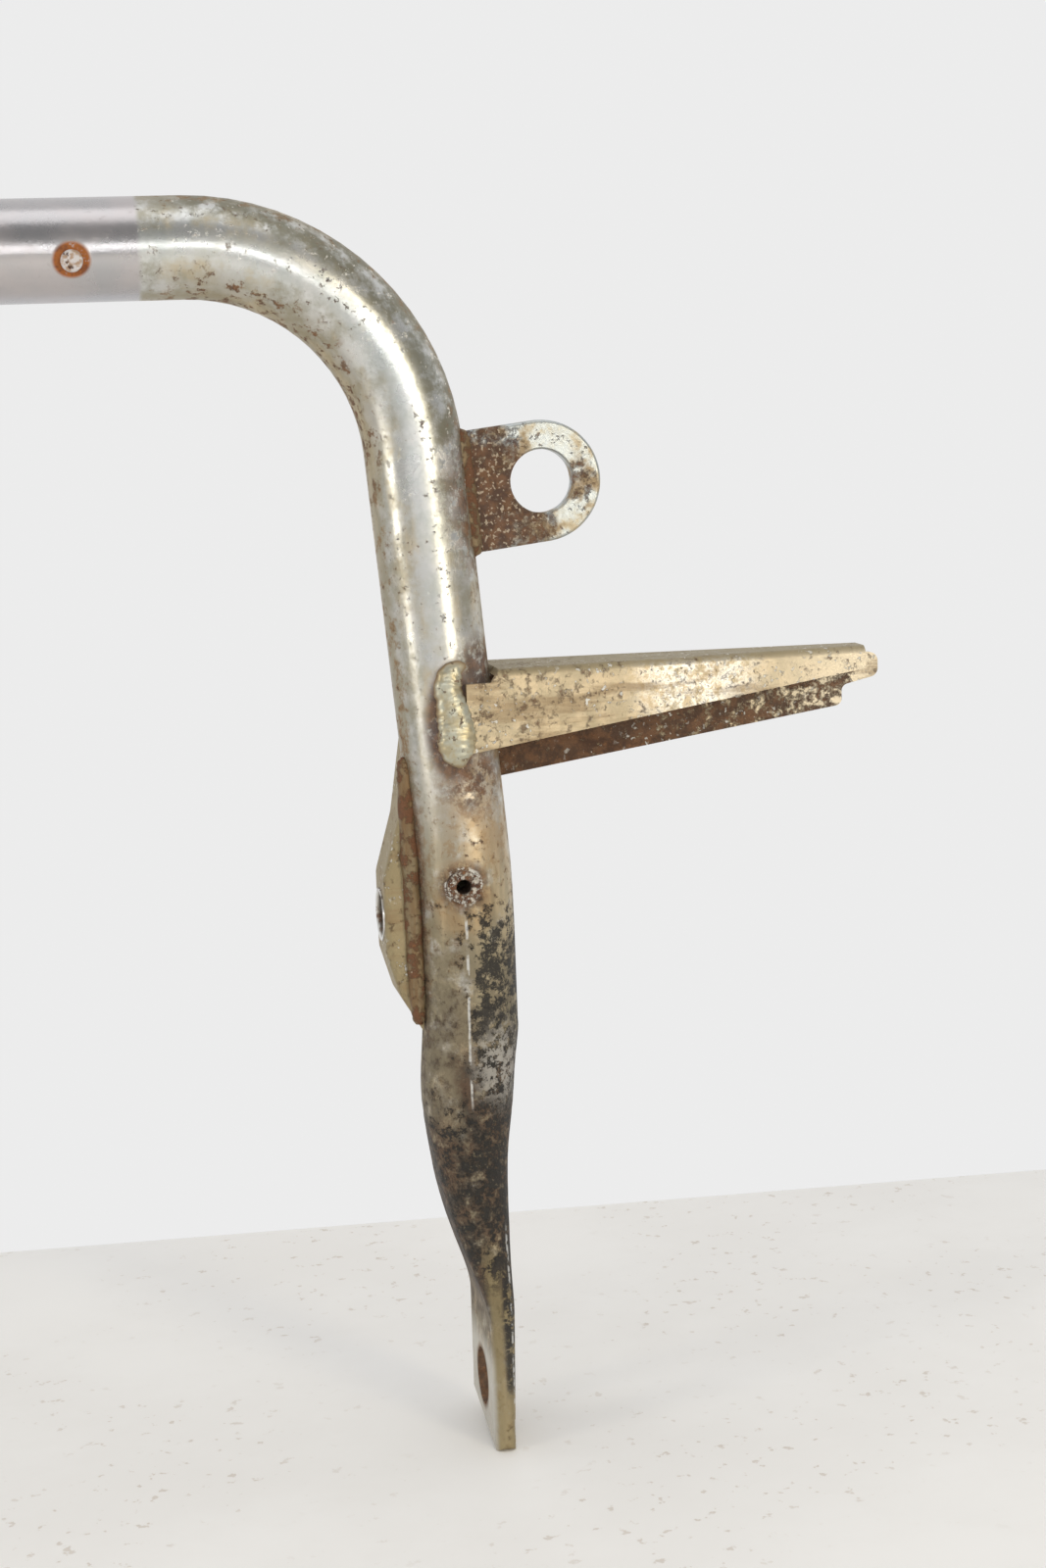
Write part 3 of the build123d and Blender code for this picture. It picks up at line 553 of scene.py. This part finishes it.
THREAD_PALE, THREAD_DARK = (0.46, 0.44, 0.40), (0.24, 0.20, 0.16)
BUSH_RIM_X, BUSH_X = (0.2624, 0.2620), (0.20, 0.25)
BUSH_RIM_BRIGHT = (0.74, 0.73, 0.70)


def threaded_steel():
    """Oily steel of the bushes and studs, worn bright on the bushes' rims."""
    n = Nodes("oily_steel")
    mid = n.noise(0.003, 4.0, 0.6)
    fine = n.noise(0.0008, 4.0, 0.6)
    f = Finish(n, n.mix(n.ramp(mid, 0.4, 0.6), THREAD_PALE, THREAD_DARK), 0.9, 0.36, n.mul(fine, 0.3))
    f.lay(n.mul(n.ramp(n.side, *BUSH_RIM_X), n.ramp(n.side, *BUSH_X)), BUSH_RIM_BRIGHT, 1.0, 0.30)
    f.rust(n.mul(n.ramp(mid, 0.55, 0.68), 0.8))
    return f.make(0.5, 0.0004)


# the last colour is painted shade for the insert's bore
INSERT_PALE, INSERT_TAN, INSERT_SHADE = (0.50, 0.46, 0.40), (0.34, 0.27, 0.19), (0.10, 0.065, 0.045)
# painted shade inside the insert's bore
INSERT_SHADE_Y = (-0.0160, -0.0150)


def insert_metal():
    """Crusted rim of the leg insert, with painted shade inside its bore."""
    n = Nodes("insert_rim")
    small = n.noise(0.0024, 5.0, 0.7)
    fine = n.noise(0.0008, 4.0, 0.6)
    f = Finish(n, n.mix(n.ramp(small, 0.4, 0.6), INSERT_PALE, INSERT_TAN), 0.4, 0.5, n.mul(fine, 0.4))
    f.rust(n.ramp(small, 0.44, 0.54))
    f.lay(n.speckle(0.0026, 0.56, 0.60), FLAKE, 0.1, 0.55, 0.6)
    # painted shade: dark colour inside the bore
    f.lay(n.ramp(n.y, *INSERT_SHADE_Y), INSERT_SHADE, 0.4, 0.5)
    return f.make(0.8, 0.0006)


RIVET_PALE, RIVET_BROWN = (0.60, 0.57, 0.57), (0.40, 0.28, 0.20)


def rivet_metal():
    n = Nodes("rivet_head")
    mid = n.noise(0.0016, 4.0, 0.6)
    f = Finish(n, n.mix(n.ramp(mid, 0.42, 0.60), RIVET_PALE, RIVET_BROWN), 0.4, 0.55, n.mul(mid, 0.6))
    f.rust(n.speckle(0.0022, 0.57, 0.65, 4.0, 0.6))
    return f.make(0.6, 0.0005)


def paint(node_name, material):
    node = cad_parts[node_name]
    node.data.materials.clear()
    node.data.materials.append(material)
    for polygon in node.data.polygons:
        polygon.material_index = 0


tube_look = chrome_tube()
plate_look = plated_plate()
sheet_look = weathered_sheet()
weld_look = weld_metal()
mount_look = mount_plate()
rusty_look = rusty_metal()
steel_look = threaded_steel()
rivet_look = rivet_metal()
insert_look = insert_metal()
LOOKS = {
    "hoop_tube": tube_look,
    "eye_lug": plate_look,
    "eye_welds": rusty_look,
    "side_arm": sheet_look,
    "arm_welds": weld_look,
    "saddle_pad": sheet_look,
    "saddle_bush": steel_look,
    "saddle_welds": rusty_look,
    "leg_insert": insert_look,
    "bar_rivet": rivet_look,
    "wheel_hanger": mount_look,
    "hanger_welds": rusty_look,
    "wheel_spacer": mount_look,
    "wheel_flange": mount_look,
    "spacer_ribs": mount_look,
    "wheel_studs": steel_look,
}
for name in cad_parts:
    stem = name.removesuffix("_right").removesuffix("_left")
    paint(name, LOOKS[stem])


def solid_of(name, ring_sets, material, replaced=()):
    """One object made of closed lofts through sets of rings of points."""
    verts, faces = [], []
    for rings in ring_sets:
        count = len(rings[0])
        base = len(verts)
        verts += [point for ring in rings for point in ring]
        for i in range(len(rings) - 1):
            for j in range(count):
                k = (j + 1) % count
                low, high = base + i * count, base + (i + 1) * count
                faces.append((low + j, low + k, high + k, high + j))
        last = base + (len(rings) - 1) * count
        faces.append(tuple(range(base + count - 1, base - 1, -1)))
        faces.append(tuple(range(last, last + count)))
    mesh = bpy.data.meshes.new(name)
    mesh.from_pydata(verts, [], faces)
    shell = bmesh.new()
    shell.from_mesh(mesh)
    bmesh.ops.recalc_face_normals(shell, faces=shell.faces)
    shell.to_mesh(mesh)
    shell.free()
    for polygon in mesh.polygons:
        polygon.use_smooth = len(polygon.vertices) == 4
    mesh.materials.append(material)
    obj = bpy.data.objects.new(name, mesh)
    bpy.context.scene.collection.objects.link(obj)
    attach(obj, "root")
    if replaced:
        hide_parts(*replaced)
    return obj


def between(a, b, c, d, t):
    """Catmull-Rom value a fraction t of the way from b to c."""
    square, cube = 2 * a - 5 * b + 4 * c - d, 3 * b - a - 3 * c + d
    return 0.5 * (2 * b + (c - a) * t + square * t**2 + cube * t**3)


def smooth_path(points, steps):
    """Catmull-Rom samples through points of any dimension."""
    ends = [points[0], *points, points[-1]]
    samples = []
    for i in range(len(points) - 1):
        for k in range(steps):
            samples.append([between(*values, k / steps) for values in zip(*ends[i : i + 4])])
    samples.append(list(points[-1]))
    return samples


def bead_rings(points, flat=1.0, ripple=0.06, steps=14):
    """Rings of a weld bead through (x, y, z, radius) points in millimetres."""
    samples = smooth_path(points, steps)
    rings = []
    run = 0.0
    for i, (x, y, z, radius) in enumerate(samples):
        before = Vector(samples[max(i - 1, 0)][:3])
        after = Vector(samples[min(i + 1, len(samples) - 1)][:3])
        run += (Vector((x, y, z)) - before).length
        along = (after - before).normalized()
        out = Vector((0, -1, 0))
        across = along.cross(out).normalized()
        ring = []
        for j in range(BEAD_SIDES):
            turn = 2 * math.pi * j / BEAD_SIDES
            way = across * math.cos(turn) + out * (math.sin(turn) * flat)
            lump = noise.noise((Vector((x, y, z)) + way * radius) / BEAD_LUMP)
            wave = math.sin(2 * math.pi * (run - RIPPLE_BOW * abs(math.cos(turn))) / RIPPLE_PITCH)
            swell = 1 + ripple * wave + BEAD_UNEVEN * lump
            ring.append((Vector((x, y, z)) + way * radius * swell) * MM)
        rings.append(ring)
    return rings


def flipped(rings, side):
    return [[Vector((p.x * side, p.y, p.z)) for p in ring] for ring in rings]


def thread_rings(centre, axis, radius, start, stop, pitch, ridge):
    """Rings of a helical thread ridge round an axis, in millimetres."""
    axis = Vector(axis)
    first = axis.orthogonal().normalized()
    second = axis.cross(first)
    rings = []
    count = int(abs(stop - start) / pitch * THREAD_STEPS)
    for i in range(count + 1):
        turn = 2 * math.pi * i / THREAD_STEPS
        radial = first * math.cos(turn) + second * math.sin(turn)
        middle = Vector(centre) + axis * (start + (stop - start) * i / count)
        fade = min(1.0, (i + 1) / THREAD_STEPS, (count - i + 1) / THREAD_STEPS)
        ring = []
        for j in range(RIDGE_SIDES):
            corner = 2 * math.pi * j / RIDGE_SIDES
            out = radial * (math.cos(corner) * ridge * fade)
            way = out + axis * (math.sin(corner) * pitch * RIDGE_WIDTH)
            ring.append((middle + radial * radius + way) * MM)
        rings.append(ring)
    return rings


# Weld beads: (x, z, radius) points on the right leg, in millimetres
ARM_BEAD = [
    (289.6, 243.6, 0.8),
    (286.4, 242.6, 3.0),
    (283.9, 238.8, 4.5),
    (284.1, 233.6, 4.6),
    (285.4, 228.0, 5.6),
    (286.0, 221.6, 6.3),
    (286.2, 215.4, 5.4),
    (287.2, 211.0, 1.2),
]
EYE_BEAD = [
    (296.1, 277.0, 0.8),
    (295.7, 280.0, 3.1),
    (294.2, 297.5, 3.3),
    (292.8, 314.5, 3.1),
    (292.5, 318.0, 0.8),
]
FRONT_SEAM = [
    (272.2, 125.5, 0.6),
    (271.8, 130.0, 2.5),
    (271.3, 169.0, 2.9),
    (270.6, 207.0, 2.8),
    (270.2, 213.5, 0.8),
]
BACK_SEAM = [
    (283.0, 125.5, 0.6),
    (282.8, 130.0, 2.0),
    (282.6, 169.0, 2.2),
    (282.3, 207.0, 2.0),
    (282.1, 212.5, 0.6),
]
ARM_BEAD_Y, ARM_BEAD_FLAT = 16.3, 0.62
EYE_BEAD_Y = 3.2
FRONT_SEAM_Y, BACK_SEAM_Y = -2.9, 16.0
HANGER_WELD_HALF, HANGER_WELD_END, HANGER_WELD_Y, HANGER_WELD_RISE = 50.0, 4.0, -15.5, 6.46
BAR_Z = 376.7
BEAD_SIDES = 24
BEAD_LUMP, BEAD_UNEVEN = 3.5, 0.10
RIPPLE_PITCH, RIPPLE_BOW = 2.6, 0.8

# Threads, in millimetres: start and stop are measured along the thread's axis
BUSH_THREAD = {"radius": 7.15, "start": 263.0, "stop": 271.6, "pitch": 1.5, "ridge": 0.35}
INSERT_THREAD = {"radius": 2.55, "start": -16.2, "stop": -6.5, "pitch": 1.0, "ridge": 0.25}
STUD_THREAD = {"radius": 5.95, "start": 60.0, "stop": 95.0, "pitch": 1.75, "ridge": 0.35}
BUSH_PLACE = (0, 8.0, 160.1)
INSERT_PLACE = (286.3, 0, 172.0)
HUB_Z, STUD_PCD_R, STUD_ANGLES = 196.0, 57.15, (90, 210, 330)
THREAD_STEPS = 32
RIDGE_SIDES, RIDGE_WIDTH = 6, 0.42


def bead_at(points, y, flat=1.0, ripple=0.06):
    return bead_rings([(x, y, z, radius) for x, z, radius in points], flat, ripple)


def side_welds():
    """Look and beads of each welded joint on the right leg."""
    arm = [bead_at(ARM_BEAD, y, ARM_BEAD_FLAT, 0.03) for y in (-ARM_BEAD_Y, ARM_BEAD_Y)]
    eye = [bead_at(EYE_BEAD, y, 1.0, 0.07) for y in (-EYE_BEAD_Y, EYE_BEAD_Y)]
    saddle = [bead_at(FRONT_SEAM, FRONT_SEAM_Y), bead_at(BACK_SEAM, BACK_SEAM_Y)]
    return {"arm_weld": (weld_look, arm), "eye_weld": (rusty_look, eye), "saddle_weld": (rusty_look, saddle)}


def make_leg_details(side, word):
    """Weld beads in place of the CAD ones, and the threads in the bush and the insert."""
    for stem, (look, beads) in side_welds().items():
        solid_of(f"{stem}_runs_{word}", [flipped(rings, side) for rings in beads], look, [f"{stem}s_{word}"])
    bush = thread_rings(BUSH_PLACE, (1, 0, 0), **BUSH_THREAD)
    solid_of("bush_thread_" + word, [flipped(bush, side)], steel_look)
    insert = thread_rings(INSERT_PLACE, (0, 1, 0), **INSERT_THREAD)
    solid_of("insert_thread_" + word, [flipped(insert, side)], insert_look)


def make_stud_threads():
    studs = []
    for angle in STUD_ANGLES:
        x = STUD_PCD_R * math.cos(math.radians(angle))
        z = HUB_Z + STUD_PCD_R * math.sin(math.radians(angle))
        studs.append(thread_rings((x, 0, z), (0, -1, 0), **STUD_THREAD))
    solid_of("stud_threads", studs, steel_look)


def make_hanger_welds():
    full = HANGER_WELD_HALF - HANGER_WELD_END
    profile = [(-HANGER_WELD_HALF, 0.8), (-full, 2.4), (0, 2.6), (full, 2.4), (HANGER_WELD_HALF, 0.8)]
    beads = []
    for z in (BAR_Z - HANGER_WELD_RISE, BAR_Z + HANGER_WELD_RISE):
        line = [(x, HANGER_WELD_Y, z, radius) for x, radius in profile]
        beads.append(bead_rings(line, 1.0, 0.07, 22))
    solid_of("hanger_weld_runs", beads, rusty_look, ["hanger_welds"])


make_leg_details(1, "right")
make_leg_details(-1, "left")
make_stud_threads()
make_hanger_welds()

FLOOR_PALE, FLOOR_WARM, FLOOR_SPECK = (0.96, 0.95, 0.93), (0.91, 0.895, 0.87), (0.50, 0.40, 0.30)
# Just under the feet
FLOOR_Z = -0.0183
FLOOR_CORNERS = [(-2.2, -3.0), (2.6, -3.0), (2.6, 0.092), (-2.2, 0.360)]


def floor_look():
    n = Nodes("pale_floor")
    big = n.noise(0.12, 5.0, 0.6)
    dust = n.noise(0.010, 5.0, 0.7)
    specks = n.mul(n.speckle(0.006, 0.62, 0.68, 3.0, 0.6), n.ramp(big, 0.42, 0.6), 0.45)
    color = n.mix(n.ramp(big, 0.3, 0.7), FLOOR_PALE, FLOOR_WARM)
    color = n.mix(specks, color, FLOOR_SPECK)
    return n.finish(color, 0.0, 0.55, n.mul(dust, 0.4), 0.3, 0.0004)


def make_floor():
    """Pale floor that ends behind the part along the foot of an unseen wall."""
    mesh = bpy.data.meshes.new("floor")
    mesh.from_pydata([(x, y, FLOOR_Z) for x, y in FLOOR_CORNERS], [], [(0, 1, 2, 3)])
    floor = bpy.data.objects.new("floor", mesh)
    bpy.context.scene.collection.objects.link(floor)
    floor.data.materials.append(floor_look())


# Place, point aimed at, width, height, power and tint of each light
LIGHTS = {
    "left_softbox": ((-1.40, -0.63, 0.40), (0.29, 0, 0.2), 0.30, 1.0, 6.5, (1.0, 0.92, 0.78)),
    "right_softbox": ((1.05, -1.42, 0.45), (0.29, 0, 0.2), 0.32, 1.1, 7.6, (1.0, 0.89, 0.68)),
    "bar_softbox": ((0.15, -1.30, 0.465), (0.15, 0, 0.37), 1.3, 0.13, 2.8, WHITE),
    "top_softbox": ((0.2, -0.4, 2.2), (0.25, 0, 0.2), 2.2, 1.2, 8.5, WHITE),
}


def soft_light(name, place, target, width, height, power, tint):
    data = bpy.data.lights.new(name, "AREA")
    data.shape = "RECTANGLE"
    data.size, data.size_y = width, height
    data.energy = power
    data.color = tint
    light = bpy.data.objects.new(name, data)
    bpy.context.scene.collection.objects.link(light)
    light.location = place
    light.rotation_euler = (Vector(target) - Vector(place)).to_track_quat("-Z", "Y").to_euler()


# The world's grey from in front of the part to behind it
WORLD_FRONT, WORLD_BACK = 0.31, 0.84
WORLD_FROM_Y, WORLD_TO_Y = -0.5, 0.4


def make_world():
    world = bpy.data.worlds.new("studio")
    bpy.context.scene.world = world
    world.use_nodes = True
    tree = world.node_tree
    back = tree.nodes["Background"]
    coords = tree.nodes.new("ShaderNodeTexCoord")
    split = tree.nodes.new("ShaderNodeSeparateXYZ")
    tree.links.new(coords.outputs["Generated"], split.inputs[0])
    ramp = tree.nodes.new("ShaderNodeMapRange")
    ramp.inputs["From Min"].default_value = WORLD_FROM_Y
    ramp.inputs["From Max"].default_value = WORLD_TO_Y
    ramp.inputs["To Min"].default_value = WORLD_FRONT
    ramp.inputs["To Max"].default_value = WORLD_BACK
    tree.links.new(split.outputs[1], ramp.inputs["Value"])
    tree.links.new(ramp.outputs[0], back.inputs["Color"])
    back.inputs["Strength"].default_value = 1.0


CAMERA_PLACE = Vector((0.15372, -0.804, 0.33143))
CAMERA_YAW, CAMERA_PITCH, CAMERA_ROLL = (math.radians(v) for v in (11.0, 9.0, 2.02))
CAMERA_LENS, CAMERA_SENSOR = 58.0, 36.0
CAMERA_CLIP = (0.01, 20.0)


def make_camera():
    forward = Vector(
        (
            math.sin(CAMERA_YAW) * math.cos(CAMERA_PITCH),
            math.cos(CAMERA_YAW) * math.cos(CAMERA_PITCH),
            -math.sin(CAMERA_PITCH),
        )
    )
    level = Vector((math.cos(CAMERA_YAW), -math.sin(CAMERA_YAW), 0.0))
    upright = level.cross(forward)
    right = level * math.cos(CAMERA_ROLL) - upright * math.sin(CAMERA_ROLL)
    up = upright * math.cos(CAMERA_ROLL) + level * math.sin(CAMERA_ROLL)
    data = bpy.data.cameras.new("camera")
    data.lens = CAMERA_LENS
    data.sensor_width = CAMERA_SENSOR
    data.clip_start, data.clip_end = CAMERA_CLIP
    camera = bpy.data.objects.new("camera", data)
    bpy.context.scene.collection.objects.link(camera)
    turn = Matrix((right, up, -forward)).transposed()
    camera.matrix_world = Matrix.Translation(CAMERA_PLACE) @ turn.to_4x4()
    bpy.context.scene.camera = camera


make_floor()
make_world()
make_camera()
for light_name, settings in LIGHTS.items():
    soft_light(light_name, *settings)
bpy.context.scene.view_settings.view_transform = "Standard"
